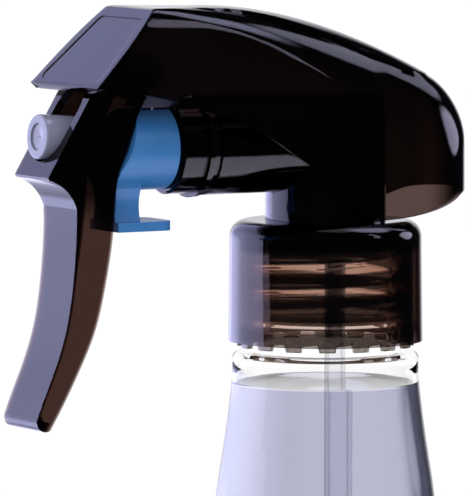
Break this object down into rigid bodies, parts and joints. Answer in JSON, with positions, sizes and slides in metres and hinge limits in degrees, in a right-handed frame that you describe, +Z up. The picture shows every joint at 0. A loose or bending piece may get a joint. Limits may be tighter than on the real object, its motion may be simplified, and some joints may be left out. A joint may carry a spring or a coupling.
{
  "type": "trigger spray bottle",
  "caption": "Clear blown bottle with a smoky hooded fine-mist trigger sprayer, screw collar, dip tube, return spring and a pull-off trigger lock clip.",
  "frame": {"origin": "centre of the bottle's standing plane, on the bottle's axis", "axes": "+Z up along the bottle, -Y the way the spray leaves, +X to the right seen from behind the head"},
  "size_m": [0.041, 0.084, 0.1831],
  "materials": {
    "smoke": "glossy, translucent smoky brown-black",
    "clear_pet": "clear blown PET, glossy",
    "blue": "semi-gloss sky blue",
    "natural": "natural, satin",
    "tube": "translucent natural",
    "seal": "matte white foam",
    "steel": "drawn stainless wire and polished balls"
  },
  "bodies": {
    "bottle": {"bottle": "clear_pet"},
    "closure": {"neck_gasket": "seal"},
    "collar": {"collar": "smoke"},
    "head": {"pump_body": "smoke", "tube_holder": "natural", "dip_tube": "tube", "cylinder_cap": "smoke", "hood": "smoke", "return_spring": "steel"},
    "inlet": {"inlet_ball": "steel"},
    "trigger": {"trigger": "smoke"},
    "piston": {"stem": "natural", "piston_seal": "natural", "actuator": "smoke", "nozzle_insert": "smoke", "swirl_core": "natural", "outlet_spring": "steel"},
    "outlet": {"outlet_ball": "steel"},
    "clip": {"lock_clip": "blue"}
  },
  "joints": [
    {"name": "closure_lift", "type": "slide", "parent": "bottle", "child": "closure", "axis": [0, 0, 1], "range_m": [0, 0.00635]},
    {"name": "collar_spin", "type": "hinge", "parent": "closure", "child": "collar", "pos_m": [0, 0, 0.136], "axis": [0, 0, 1], "range_deg": [0, 540]},
    {"name": "head_swivel", "type": "hinge", "parent": "closure", "child": "head", "pos_m": [0, 0, 0.15], "axis": [0, 0, 1], "continuous": true},
    {"name": "inlet_lift", "type": "slide", "parent": "head", "child": "inlet", "axis": [0, 0, 1], "range_m": [0, 0.0009]},
    {"name": "trigger_pull", "type": "hinge", "parent": "head", "child": "trigger", "pos_m": [0, -0.0405, 0.1732], "axis": [1, 0, 0], "range_deg": [0, 22], "stiffness_Nm_per_rad": 0.2, "springref_deg": -2.86},
    {"name": "piston_slide", "type": "slide", "parent": "head", "child": "piston", "axis": [0, 1, 0], "range_m": [0, 0.0052], "deforming": ["return_spring"]},
    {"name": "outlet_open", "type": "slide", "parent": "piston", "child": "outlet", "axis": [0, -0.9969, 0.0785], "range_m": [0, 0.0006], "deforming": ["outlet_spring"]},
    {"name": "clip_pull", "type": "slide", "parent": "head", "child": "clip", "axis": [0, 0, -1], "range_m": [0, 0.03], "deforming": ["lock_clip"]}
  ],
  "couplings": [
    {"joint": "collar_spin", "follows": "closure_lift", "rad_per_m": 1484.2},
    {"joint": "piston_slide", "follows": "trigger_pull", "m_per_rad": 0.01335}
  ]
}
